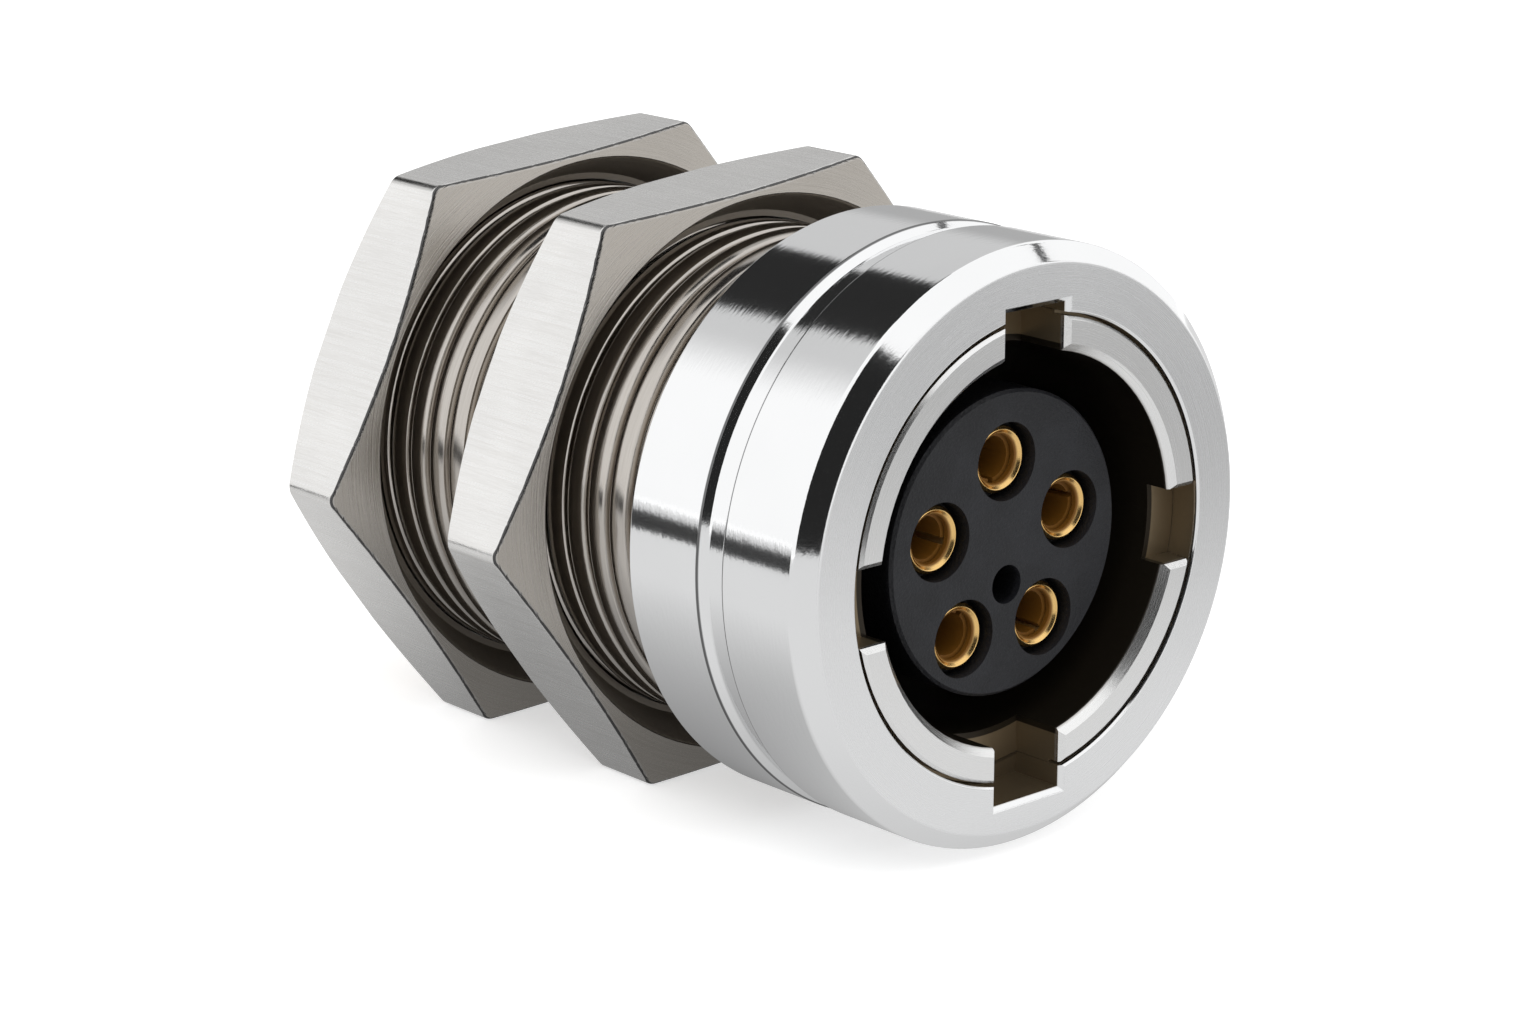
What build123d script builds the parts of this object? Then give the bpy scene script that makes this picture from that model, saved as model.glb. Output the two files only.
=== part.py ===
from build123d import *
import os
from math import cos, radians, sin

# Push-pull panel socket. A turned and plated shell with a keyed front carries a castellated earthing
# crown, five closed-entry contacts in a two-part insulator, and two hexagonal nuts on its thread.
# Lengths are in millimetres and angles in degrees.
# The socket's axis is Y. The mating face looks along -Y, the solder cups point along +Y, +Z is up.
# The origin is on the axis, at the shoulder that seats on the panel.
# A station is a distance along the axis behind the front face.

# Head
HEAD_DIAMETER = 23.0
HEAD_LENGTH = 9.6
HEAD_FRONT_BEVEL = 0.7
HEAD_REAR_BEVEL = 0.15
GROOVE_STATION = 4.3
GROOVE_WIDTH = 1.4
GROOVE_DEPTH = 0.3

# Threaded barrel, a fine metric thread of 20 mm
THREAD_DIAMETER = 20.0
BARREL_LENGTH = 21.9
BARREL_END_BEVEL = 0.6
BARREL_WALL = 1.95
BARREL_BORE_BEVEL = 0.3

# Earthing crown and the bore that holds it
CROWN_BORE = 15.0
CROWN_WALL = 1.3
CROWN_LENGTH = 8.0
CROWN_FOOT_LENGTH = 7.3
CROWN_FOOT_CLEARANCE = 0.02
CROWN_INNER_BEVEL = 0.3
CROWN_OUTER_BEVEL = 0.12
SEAM_GAP = 0.15
SEAM_BEVEL = 0.08

# Notches for the plug's keys
UPPER_KEY_SLOT_WIDTH = 3.05
UPPER_KEYWAY_DEPTH = 0.25
LOWER_KEY_SLOT_WIDTH = 3.4
LOWER_KEYWAY_DEPTH = 0.65
KEY_SLOT_LENGTH = 2.4
SIDE_SLOT_WIDTH = 2.95
SIDE_SLOT_LENGTH = 1.3
SIDE_SLOT_DROP = 0.5
SLOT_BEVEL = 0.2

# Ledge behind the crown, with the groove that the plug's latches catch in
LEDGE_LENGTH = 3.0
LATCH_GROOVE_OFFSET = 1.0
LATCH_GROOVE_WIDTH = 1.2
LATCH_GROOVE_DEPTH = 0.8

# Insert carrier half shells
CARRIER_CLEARANCE = 0.05
CARRIER_WALL = 0.95
CARRIER_LIP_LENGTH = 1.5
CARRIER_LIP_CLEARANCE = 0.6
CARRIER_KEY_WIDTH = 1.6
CARRIER_KEY_HEIGHT = 0.5
CARRIER_KEY_CLEARANCE = 0.05

# Insulators
TOWER_DIAMETER = 11.7
TOWER_RECESS = 1.5
TOWER_BEVEL = 0.12
FLANGE_CLEARANCE = 0.05
FRONT_FLANGE_LENGTH = 3.5
BOSS_CLEARANCE = 0.45
PLAIN_HOLE_DIAMETER = 1.5
PLAIN_HOLE_DEPTH = 3.0
PLAIN_HOLE_PLACE = (0.1, -1.6)

# Contacts, for plug pins of 1.6 mm
CONTACT_COUNT = 5
CONTACT_CIRCLE = 7.1
CONTACT_DROP = 0.4
TOP_CONTACT_ANGLE = 90.0
POCKET_DIAMETER = 3.0
POCKET_DEPTH = 0.95
RIM_RECESS = 0.35
RIM_DIAMETER = 2.3
HOOD_DIAMETER = 2.6
HOOD_LENGTH = 8.0
HOOD_WALL = 0.22
HOOD_NOSE_RADIUS = 0.15
HOOD_MOUTH = 1.88
HOOD_MOUTH_BEVEL = 0.21
HOOD_LIP = 0.4
HOOD_CLEARANCE = 0.03
PIN_BORE = 1.64
PIN_BORE_DEPTH = 6.0
TINE_TIP_GAP = 0.1
TINE_WALL = 0.22
TINE_SLIT_WIDTH = 0.25
TINE_SLIT_LENGTH = 5.0
COLLAR_DIAMETER = 3.4
COLLAR_LENGTH = 1.2
TAIL_DIAMETER = 2.8
TAIL_CLEARANCE = 0.02

# Solder cups behind the barrel
CUP_PROJECTION = 5.0
CUP_BORE = 2.2
CUP_DEPTH = 4.4
CUP_SCOOP_LENGTH = 2.0
CUP_SCOOP_RADIUS = 1.3
CUP_SCOOP_FLOOR = 0.15

# Retaining ring
RING_LENGTH = 2.5
RING_RECESS = 2.5
RING_WALL = 1.7
RING_SLOT_WIDTH = 1.6
RING_SLOT_DEPTH = 1.0

# Hexagonal nuts
NUT_ACROSS_FLATS = 23.0
NUT_THICKNESS = 4.6
NUT_THREAD_CLEARANCE = 0.05
NUT_CORNER_RADIUS = 0.6
NUT_EDGE_RADIUS = 0.2
NUT_FRONT_CHAMFER_INSET = 0.5
NUT_FRONT_CHAMFER_SLOPE = 0.37
NUT_REAR_CHAMFER_OUTSET = 0.1
NUT_REAR_CHAMFER_SLOPE = 0.577
NUT_DISH_INSET = 0.27
NUT_DISH_RIM_BEVEL = 0.1
NUT_DISH_STEP_DEPTH = 0.6
NUT_DISH_STEP_DIAMETER = 21.9
NUT_DISH_FLOOR_DEPTH = 1.8
NUT_DISH_FLOOR_DIAMETER = 20.6
NUT_REAR_BEVEL = 0.3
NUT_VERTEX_ANGLE = 25.0
FRONT_NUT_SETBACK = 5.1
REAR_NUT_FROM_END = 6.2

# How far a cutter runs past the face that it opens
OVERSHOOT = 1.0

# Radii and stations that follow from the driving dimensions
head_radius = HEAD_DIAMETER / 2
thread_radius = THREAD_DIAMETER / 2
barrel_bore_radius = thread_radius - BARREL_WALL
barrel_end = HEAD_LENGTH + BARREL_LENGTH
crown_inner_radius = CROWN_BORE / 2
crown_outer_radius = crown_inner_radius + CROWN_WALL
crown_seat_radius = crown_outer_radius + SEAM_GAP
ledge_end = CROWN_LENGTH + LEDGE_LENGTH

ring_end = barrel_end - RING_RECESS
ring_start = ring_end - RING_LENGTH
carrier_radius = barrel_bore_radius - CARRIER_CLEARANCE
pocket_radius = carrier_radius - CARRIER_WALL
tower_radius = TOWER_DIAMETER / 2
lip_radius = tower_radius + CARRIER_LIP_CLEARANCE
pocket_start = ledge_end + CARRIER_LIP_LENGTH
pocket_end = ring_start - CARRIER_LIP_LENGTH
key_radius = pocket_radius - CARRIER_KEY_HEIGHT
ring_bore_radius = carrier_radius - RING_WALL
boss_radius = ring_bore_radius - BOSS_CLEARANCE

flange_radius = pocket_radius - FLANGE_CLEARANCE
insulator_joint = pocket_start + FRONT_FLANGE_LENGTH
rim_station = TOWER_RECESS + RIM_RECESS
hood_radius = HOOD_DIAMETER / 2
hood_bore_radius = hood_radius - HOOD_WALL
hood_end = rim_station + HOOD_LENGTH
tine_tip = rim_station + HOOD_LIP + TINE_TIP_GAP
pin_radius = PIN_BORE / 2
collar_end = insulator_joint + COLLAR_LENGTH
cup_end = barrel_end + CUP_PROJECTION


def turned(*outline):
    """A piece turned about the socket's axis, from points of (radius, station)."""
    points = [(radius, station - HEAD_LENGTH) for radius, station in outline]
    return revolve(make_face(Polyline(*points, close=True)), Axis.Y)


def disc(radius, start, end):
    """A solid disc or rod on the axis between two stations."""
    return turned((0, start), (radius, start), (radius, end), (0, end))


def across(outline, reach):
    """A cutter through the axis, from points of (x, station), reaching as far above as below."""
    points = [(x, station - HEAD_LENGTH) for x, station in outline]
    return extrude(make_face(Polyline(*points, close=True)), reach, both=True)


def section(station):
    """The plane across the axis at a station, seen from the front: x to the right, y up."""
    return Plane(origin=(0, station - HEAD_LENGTH, 0), x_dir=(1, 0, 0), z_dir=(0, -1, 0))


def contact_places():
    """Where each contact stands, as (x, z, angle), from the top and then clockwise.

    The contacts' circle sits a little below the axis.
    """
    places = []
    for index in range(CONTACT_COUNT):
        angle = TOP_CONTACT_ANGLE - index * 360 / CONTACT_COUNT
        x = CONTACT_CIRCLE / 2 * cos(radians(angle))
        z = CONTACT_CIRCLE / 2 * sin(radians(angle)) - CONTACT_DROP
        places.append((x, z, angle))
    return places


def notch(width, length):
    """A notch cut straight across the front, with its mouth bevelled."""
    mouth = width / 2 + 2 * SLOT_BEVEL
    outline = [(-mouth, -SLOT_BEVEL), (mouth, -SLOT_BEVEL), (width / 2, SLOT_BEVEL), (width / 2, length),
               (-width / 2, length), (-width / 2, SLOT_BEVEL)]
    return across(outline, HEAD_DIAMETER)


def key_slot(width, reach):
    """A slot for one of the plug's keys, above the axis, with a flat end and its mouth bevelled."""
    front = -HEAD_LENGTH
    outline = Polyline(
        (front - SLOT_BEVEL, 0), (front - SLOT_BEVEL, reach + 2 * SLOT_BEVEL), (front + SLOT_BEVEL, reach),
        (front + KEY_SLOT_LENGTH, reach), (front + KEY_SLOT_LENGTH, 0), close=True)
    limit = extrude(Plane.YZ * make_face(outline), HEAD_DIAMETER, both=True)
    return notch(width, KEY_SLOT_LENGTH) & limit


def key_slots():
    """The two slots for the plug's keys; the lower is wider and deeper, so a plug fits one way only."""
    upper = key_slot(UPPER_KEY_SLOT_WIDTH, crown_seat_radius + UPPER_KEYWAY_DEPTH)
    lower = key_slot(LOWER_KEY_SLOT_WIDTH, crown_seat_radius + LOWER_KEYWAY_DEPTH)
    return upper + lower.rotate(Axis.Y, 180)


def outer_shell():
    """Head, threaded barrel, crown seat, latch groove and the bore for the insert, turned in one."""
    groove_end = GROOVE_STATION + GROOVE_WIDTH
    groove_radius = head_radius - GROOVE_DEPTH
    latch_start = CROWN_LENGTH + LATCH_GROOVE_OFFSET
    latch_end = latch_start + LATCH_GROOVE_WIDTH
    latch_radius = crown_inner_radius + LATCH_GROOVE_DEPTH
    shell = turned(
        (crown_seat_radius + SEAM_BEVEL, 0), (head_radius - HEAD_FRONT_BEVEL, 0),
        (head_radius, HEAD_FRONT_BEVEL), (head_radius, GROOVE_STATION),
        (groove_radius, GROOVE_STATION + GROOVE_DEPTH), (groove_radius, groove_end - GROOVE_DEPTH),
        (head_radius, groove_end), (head_radius, HEAD_LENGTH - HEAD_REAR_BEVEL),
        (head_radius - HEAD_REAR_BEVEL, HEAD_LENGTH), (thread_radius, HEAD_LENGTH),
        (thread_radius, barrel_end - BARREL_END_BEVEL), (thread_radius - BARREL_END_BEVEL, barrel_end),
        (barrel_bore_radius + BARREL_BORE_BEVEL, barrel_end),
        (barrel_bore_radius, barrel_end - BARREL_BORE_BEVEL), (barrel_bore_radius, ledge_end),
        (crown_inner_radius, ledge_end), (crown_inner_radius, latch_end), (latch_radius, latch_end),
        (latch_radius, latch_start), (crown_inner_radius, latch_start),
        (crown_inner_radius, CROWN_LENGTH), (crown_seat_radius, CROWN_LENGTH),
        (crown_seat_radius, SEAM_BEVEL))
    return shell - key_slots()


def earthing_crown():
    """The castellated ring in the head: two deep notches for the keys and two shallower side ones."""
    foot_station = CROWN_LENGTH - CROWN_FOOT_LENGTH
    foot_radius = crown_seat_radius - CROWN_FOOT_CLEARANCE
    ring = turned(
        (crown_inner_radius + CROWN_INNER_BEVEL, 0), (crown_outer_radius - CROWN_OUTER_BEVEL, 0),
        (crown_outer_radius, CROWN_OUTER_BEVEL), (crown_outer_radius, foot_station),
        (foot_radius, foot_station), (foot_radius, CROWN_LENGTH), (crown_inner_radius, CROWN_LENGTH),
        (crown_inner_radius, CROWN_INNER_BEVEL))
    side_notch = notch(SIDE_SLOT_WIDTH, SIDE_SLOT_LENGTH).rotate(Axis.Y, 90)
    return ring - key_slots() - Pos(0, 0, -SIDE_SLOT_DROP) * side_notch


def carrier_key(width, radius):
    """The key along the top of the insert's pocket, or the keyway for it when a little larger."""
    centre = (radius + carrier_radius) / 2
    height = carrier_radius - radius
    length = pocket_end - pocket_start
    middle = (pocket_start + pocket_end) / 2 - HEAD_LENGTH
    return Pos(0, middle, centre) * Box(width, length, height)


def insert_carrier(half):
    """One of the two half shells that clamp the insulators; the upper one holds the key."""
    sleeve = turned(
        (lip_radius, ledge_end), (carrier_radius, ledge_end), (carrier_radius, ring_start),
        (ring_bore_radius, ring_start), (ring_bore_radius, pocket_end), (pocket_radius, pocket_end),
        (pocket_radius, pocket_start), (lip_radius, pocket_start))
    key = carrier_key(CARRIER_KEY_WIDTH, key_radius) & disc(carrier_radius, pocket_start, pocket_end)
    return split(sleeve + key, bisect_by=Plane.XY, keep=half)


def keyway_cutter():
    """The groove in the insulators' flanges that the upper half shell's key runs in."""
    width = CARRIER_KEY_WIDTH + 2 * CARRIER_KEY_CLEARANCE
    return carrier_key(width, key_radius - CARRIER_KEY_CLEARANCE)


def front_insulator():
    """The tower that carries the contacts' mouths, with its flange in the half shells."""
    body = turned(
        (0, TOWER_RECESS), (tower_radius - TOWER_BEVEL, TOWER_RECESS),
        (tower_radius, TOWER_RECESS + TOWER_BEVEL), (tower_radius, pocket_start),
        (flange_radius, pocket_start), (flange_radius, insulator_joint), (0, insulator_joint))
    hood_hole_radius = hood_radius + HOOD_CLEARANCE
    pocket_floor = TOWER_RECESS + POCKET_DEPTH
    for x, z, _ in contact_places():
        body -= Pos(x, 0, z) * disc(POCKET_DIAMETER / 2, 0, pocket_floor)
        body -= Pos(x, 0, z) * disc(hood_hole_radius, 0, insulator_joint + OVERSHOOT)
    hole_x, hole_z = PLAIN_HOLE_PLACE
    body -= Pos(hole_x, 0, hole_z) * disc(PLAIN_HOLE_DIAMETER / 2, 0, TOWER_RECESS + PLAIN_HOLE_DEPTH)
    return body - keyway_cutter()


def rear_insulator():
    """Backs the contacts' collars and guides their tails to the solder cups."""
    body = turned(
        (0, insulator_joint), (flange_radius, insulator_joint), (flange_radius, pocket_end),
        (boss_radius, pocket_end), (boss_radius, ring_end), (0, ring_end))
    collar_hole_radius = COLLAR_DIAMETER / 2 + TAIL_CLEARANCE
    tail_hole_radius = TAIL_DIAMETER / 2 + TAIL_CLEARANCE
    for x, z, _ in contact_places():
        body -= Pos(x, 0, z) * disc(collar_hole_radius, 0, collar_end)
        body -= Pos(x, 0, z) * disc(tail_hole_radius, 0, ring_end + OVERSHOOT)
    return body - keyway_cutter()


def cup_scoop():
    """The scoop that opens the rear of a solder cup along its upper side."""
    top = CUP_SCOOP_FLOOR + CUP_SCOOP_RADIUS
    front = cup_end - CUP_SCOOP_LENGTH - HEAD_LENGTH
    floor_start = front + CUP_SCOOP_RADIUS
    rear = front + CUP_SCOOP_LENGTH + OVERSHOOT
    outline = make_face([
        Line((front, top), (rear, top)),
        Line((rear, top), (rear, CUP_SCOOP_FLOOR)),
        Line((rear, CUP_SCOOP_FLOOR), (floor_start, CUP_SCOOP_FLOOR)),
        RadiusArc((floor_start, CUP_SCOOP_FLOOR), (front, top), CUP_SCOOP_RADIUS)])
    return extrude(Plane.YZ * outline, TAIL_DIAMETER, both=True)


def contact():
    """One contact on the axis: slit tines, shoulder, collar, tail and solder cup."""
    tine_radius = pin_radius + TINE_WALL
    collar_radius = COLLAR_DIAMETER / 2
    tail_radius = TAIL_DIAMETER / 2
    body = turned(
        (pin_radius, tine_tip), (tine_radius, tine_tip), (tine_radius, hood_end),
        (hood_radius, hood_end), (hood_radius, insulator_joint), (collar_radius, insulator_joint),
        (collar_radius, collar_end), (tail_radius, collar_end), (tail_radius, cup_end),
        (CUP_BORE / 2, cup_end), (CUP_BORE / 2, cup_end - CUP_DEPTH), (0, cup_end - CUP_DEPTH),
        (0, tine_tip + PIN_BORE_DEPTH), (pin_radius, tine_tip + PIN_BORE_DEPTH))
    half_slit = TINE_SLIT_WIDTH / 2
    slit_end = tine_tip + TINE_SLIT_LENGTH
    slit = across([(-half_slit, 0), (half_slit, 0), (half_slit, slit_end), (-half_slit, slit_end)],
                  HOOD_DIAMETER)
    return body - slit - cup_scoop()


def contact_hood():
    """The closed-entry hood over one contact's tines, with its mouth funnelled for the pin."""
    rim_radius = RIM_DIAMETER / 2
    mouth_radius = HOOD_MOUTH / 2
    lip_end = rim_station + HOOD_LIP
    return turned(
        (mouth_radius, rim_station + HOOD_MOUTH_BEVEL), (rim_radius, rim_station),
        (hood_radius, rim_station + HOOD_NOSE_RADIUS), (hood_radius, hood_end),
        (hood_bore_radius, hood_end), (hood_bore_radius, lip_end), (mouth_radius, lip_end))


def retaining_ring():
    """The ring that holds the half shells in the barrel, with two slots for its key."""
    ring = turned(
        (ring_bore_radius, ring_start), (carrier_radius, ring_start),
        (carrier_radius, ring_end), (ring_bore_radius, ring_end))
    half_slot = RING_SLOT_WIDTH / 2
    slot_start = ring_end - RING_SLOT_DEPTH
    outline = [(-half_slot, slot_start), (half_slot, slot_start), (half_slot, ring_end + OVERSHOOT),
               (-half_slot, ring_end + OVERSHOOT)]
    return ring - across(outline, HEAD_DIAMETER)


def nut_block(station):
    """The hexagon of a nut, its corners chamfered in front and behind and its front edges eased."""
    hexagon = RegularPolygon(NUT_ACROSS_FLATS / 2, 6, major_radius=False, rotation=90 - NUT_VERTEX_ANGLE)
    block = extrude(section(station) * hexagon, -NUT_THICKNESS)
    block = fillet(block.edges().filter_by(Axis.Y), NUT_CORNER_RADIUS)
    rear = station + NUT_THICKNESS
    reach = NUT_ACROSS_FLATS
    front_radius = NUT_ACROSS_FLATS / 2 - NUT_FRONT_CHAMFER_INSET
    front_run = (reach - front_radius) * NUT_FRONT_CHAMFER_SLOPE
    rear_radius = NUT_ACROSS_FLATS / 2 + NUT_REAR_CHAMFER_OUTSET
    rear_run = (reach - rear_radius) * NUT_REAR_CHAMFER_SLOPE
    block &= turned((0, station), (front_radius, station), (reach, station + front_run),
                    (reach, rear - rear_run), (rear_radius, rear), (0, rear))
    front_cone = block.faces().filter_by(GeomType.CONE).sort_by(Axis.Y)[0]
    outer_edges = front_cone.edges().filter_by(GeomType.CIRCLE, reverse=True)
    return fillet(outer_edges, NUT_EDGE_RADIUS)


def nut(station):
    """A hexagonal nut with a stepped dish in front."""
    rear = station + NUT_THICKNESS
    before = station - OVERSHOOT
    behind = rear + OVERSHOOT
    bore_radius = thread_radius + NUT_THREAD_CLEARANCE
    dish_radius = NUT_ACROSS_FLATS / 2 - NUT_DISH_INSET
    rim = station + (NUT_FRONT_CHAMFER_INSET - NUT_DISH_INSET) * NUT_FRONT_CHAMFER_SLOPE
    step = station + NUT_DISH_STEP_DEPTH
    floor = station + NUT_DISH_FLOOR_DEPTH
    return nut_block(station) - turned(
        (0, before), (dish_radius, before), (dish_radius, rim),
        (dish_radius - NUT_DISH_RIM_BEVEL, rim + NUT_DISH_RIM_BEVEL),
        (NUT_DISH_STEP_DIAMETER / 2, step), (NUT_DISH_FLOOR_DIAMETER / 2, floor), (bore_radius, floor),
        (bore_radius, rear - NUT_REAR_BEVEL), (bore_radius + NUT_REAR_BEVEL, rear),
        (bore_radius + NUT_REAR_BEVEL, behind), (0, behind))


def placed(piece, x, z, angle):
    """A piece made on the axis, turned so that its top faces outwards and set on the circle."""
    return Pos(x, 0, z) * piece.rotate(Axis.Y, TOP_CONTACT_ANGLE - angle)


pieces = {
    "outer_shell": outer_shell(),
    "earthing_crown": earthing_crown(),
    "front_insulator": front_insulator(),
    "rear_insulator": rear_insulator(),
    "upper_insert_carrier": insert_carrier(Keep.TOP),
    "lower_insert_carrier": insert_carrier(Keep.BOTTOM),
    "retaining_ring": retaining_ring(),
    "front_nut": nut(HEAD_LENGTH + FRONT_NUT_SETBACK),
    "rear_nut": nut(barrel_end - REAR_NUT_FROM_END),
}
for number, (x, z, angle) in enumerate(contact_places(), start=1):
    pieces[f"contact_{number}"] = placed(contact(), x, z, angle)
    pieces[f"contact_hood_{number}"] = placed(contact_hood(), x, z, angle)

os.makedirs("parts", exist_ok=True)
for name, piece in pieces.items():
    export_step(piece, f"parts/{name}.step")
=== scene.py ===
"""Looks of a push-pull panel socket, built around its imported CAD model.

The socket's axis is Y. Its mating face looks along -Y, its solder cups point along +Y, and +Z is up.
The origin is on the axis, at the shoulder that seats on the panel. Blender's lengths are in metres.
"""
import math

import bpy
from mathutils import Matrix, Vector


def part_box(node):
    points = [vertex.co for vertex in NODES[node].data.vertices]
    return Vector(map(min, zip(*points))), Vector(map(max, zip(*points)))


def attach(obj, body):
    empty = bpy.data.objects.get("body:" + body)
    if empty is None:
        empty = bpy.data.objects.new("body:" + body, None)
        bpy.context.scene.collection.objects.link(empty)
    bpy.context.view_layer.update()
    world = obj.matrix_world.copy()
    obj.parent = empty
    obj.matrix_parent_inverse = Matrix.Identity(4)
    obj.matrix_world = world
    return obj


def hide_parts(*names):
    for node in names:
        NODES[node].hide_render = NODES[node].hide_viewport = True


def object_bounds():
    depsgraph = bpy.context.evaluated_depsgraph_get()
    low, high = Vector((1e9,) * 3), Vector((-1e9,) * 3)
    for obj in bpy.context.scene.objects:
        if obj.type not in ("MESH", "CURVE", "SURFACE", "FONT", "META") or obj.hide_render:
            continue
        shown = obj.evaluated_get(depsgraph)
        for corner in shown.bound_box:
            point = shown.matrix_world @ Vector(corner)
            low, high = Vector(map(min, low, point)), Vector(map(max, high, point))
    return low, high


bl_info = {
    "name": "Panel socket looks",
    "version": (1, 0, 0),
    "blender": (4, 5, 0),
    "location": "3D View > Sidebar > Socket",
    "description": "Dresses a push-pull panel socket in plated metal, moulded plastic and gold",
    "category": "Object",
}

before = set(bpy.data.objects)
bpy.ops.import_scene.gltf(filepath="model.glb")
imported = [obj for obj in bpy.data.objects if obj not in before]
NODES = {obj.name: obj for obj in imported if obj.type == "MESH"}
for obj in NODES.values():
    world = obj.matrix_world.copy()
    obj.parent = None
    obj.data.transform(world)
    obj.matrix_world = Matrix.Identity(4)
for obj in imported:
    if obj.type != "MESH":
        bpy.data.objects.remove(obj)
CAD_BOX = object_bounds()
MM = 0.001

# Lengths along the axis in millimetres, and the places in metres that follow from them
HEAD_LENGTH = 9.6
BARREL_LENGTH = 21.9
FACE_Y = -HEAD_LENGTH * MM
BARREL_END_Y = BARREL_LENGTH * MM
RIM_Y = FACE_Y + 1.85 * MM
GROOVE_EDGES = (4.3 * MM, 5.7 * MM)
BARREL_RADIUS = 10.0 * MM
SLOT_BEVEL = 0.2 * MM
# Radii that the materials tell recesses by, where they paint shade: within these lie the key slots, the
# crown's seat, the crown's bore, a nut's dish and, from a contact's own axis, its bore
SLOTS_RADIUS = 10.1 * MM
SEAT_RADIUS = 9.0 * MM
CROWN_BORE = 7.72 * MM
DISH_RADIUS = 11.16 * MM
HOOD_BORE = 1.0 * MM
CONTACTS = range(1, 6)

# The outer shell's section as turned, as (radius, distance behind the front face, easing) in millimetres;
# the barrel's own points follow from the thread's root
SHELL_SECTION = [
    (8.05, 31.2, 0.0), (8.05, 11.0, 0.0), (7.5, 11.0, 0.0), (7.5, 10.2, 0.0), (8.3, 10.2, 0.0),
    (8.3, 9.0, 0.0), (7.5, 9.0, 0.0), (7.5, 8.0, 0.0), (8.95, 8.0, 0.0), (8.95, 0.08, 0.0),
    (9.03, 0.0, 0.02), (10.8, 0.0, 0.06), (11.5, 0.7, 0.08), (11.5, 4.3, 0.05), (11.2, 4.6, 0.05),
    (11.2, 5.4, 0.05), (11.5, 5.7, 0.05), (11.5, 9.45, 0.03), (11.35, 9.6, 0.03)]
# How far beyond its round a flat is held level, in millimetres
HOLD = 0.02
# A contact's gold hood, as (radius, distance behind the front face, easing) in millimetres
HOOD_SECTION = [
    (0.94, 2.06, 0.02), (1.15, 1.85, 0.03), (1.30, 2.00, 0.03), (1.30, 9.85, 0.0), (1.08, 9.85, 0.0),
    (1.08, 2.25, 0.0), (0.94, 2.25, 0.0)]
HOOD_STEPS = 72
SMOOTH_ANGLE = math.radians(28)
# The thread's ridge, as (radius, distance along the axis) in millimetres
RIDGE_SECTION = [
    (9.40, -0.60), (9.85, -0.52), (9.95, -0.46), (9.98, -0.36), (9.995, -0.12), (9.99, 0.14), (9.975, 0.36),
    (9.93, 0.46), (9.83, 0.53), (9.40, 0.60)]


class ThreadSizes(bpy.types.PropertyGroup):
    """The barrel's thread, a fine metric one."""

    pitch: bpy.props.FloatProperty(
        name="Pitch", description="Distance between two crests", default=1.25 * MM, unit="LENGTH")
    root_radius: bpy.props.FloatProperty(
        name="Root radius", description="Radius at the bottom of the thread", default=9.46 * MM,
        unit="LENGTH")
    plain: bpy.props.FloatProperty(
        name="Plain", description="Width of the unthreaded band behind the head", default=0.6 * MM,
        unit="LENGTH")
    steps: bpy.props.IntProperty(
        name="Steps", description="Faces round one turn of the thread and the shell", default=192, min=24)


class KeySlots(bpy.types.PropertyGroup):
    """The two slots for the plug's keys in the head."""

    upper_width: bpy.props.FloatProperty(
        name="Upper width", description="Width of the upper slot", default=3.05 * MM, unit="LENGTH")
    upper_reach: bpy.props.FloatProperty(
        name="Upper reach", description="Height of the upper slot's end above the axis", default=9.2 * MM,
        unit="LENGTH")
    lower_width: bpy.props.FloatProperty(
        name="Lower width", description="Width of the lower slot", default=3.4 * MM, unit="LENGTH")
    lower_reach: bpy.props.FloatProperty(
        name="Lower reach", description="Depth of the lower slot's end below the axis", default=9.6 * MM,
        unit="LENGTH")
    length: bpy.props.FloatProperty(
        name="Length", description="How far the slots run back", default=2.4 * MM, unit="LENGTH")


class PlatingColours(bpy.types.PropertyGroup):
    """Colours of the plated metal pieces."""

    chrome: bpy.props.FloatVectorProperty(
        name="Head", description="Bright plating on the head", subtype="COLOR",
        default=(0.955, 0.96, 0.965))
    nickel: bpy.props.FloatVectorProperty(
        name="Nuts", description="Nickel on the nuts", subtype="COLOR", default=(0.90, 0.893, 0.88))
    thread: bpy.props.FloatVectorProperty(
        name="Thread", description="Duller nickel on the thread", subtype="COLOR",
        default=(0.66, 0.62, 0.575))
    satin: bpy.props.FloatVectorProperty(
        name="Crown", description="Satin nickel of the earthing crown", subtype="COLOR",
        default=(0.92, 0.92, 0.915))
    # painted shade: the dark colour of the nuts' dishes, duller than the plating
    dish: bpy.props.FloatVectorProperty(
        name="Dish", description="Dull plating in the nuts' dishes", subtype="COLOR",
        default=(0.25, 0.22, 0.185))
    # painted shade in the recesses (the shell's and the crown's bores, the thread's grooves), and a darker
    # tint on the nuts' marks and faces across the axis
    painted_shade_and_tint: bpy.props.FloatVectorProperty(
        name="Recess", description="Duller plating in the recesses", subtype="COLOR",
        default=(0.22, 0.18, 0.13))
    # painted shade: brown on the walls of the head's slots and the crown's notches, darker than the plating
    # there
    slot: bpy.props.FloatVectorProperty(
        name="Slots", description="Brown tarnish on the walls of the slots", subtype="COLOR",
        default=(0.20, 0.145, 0.075))


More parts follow.
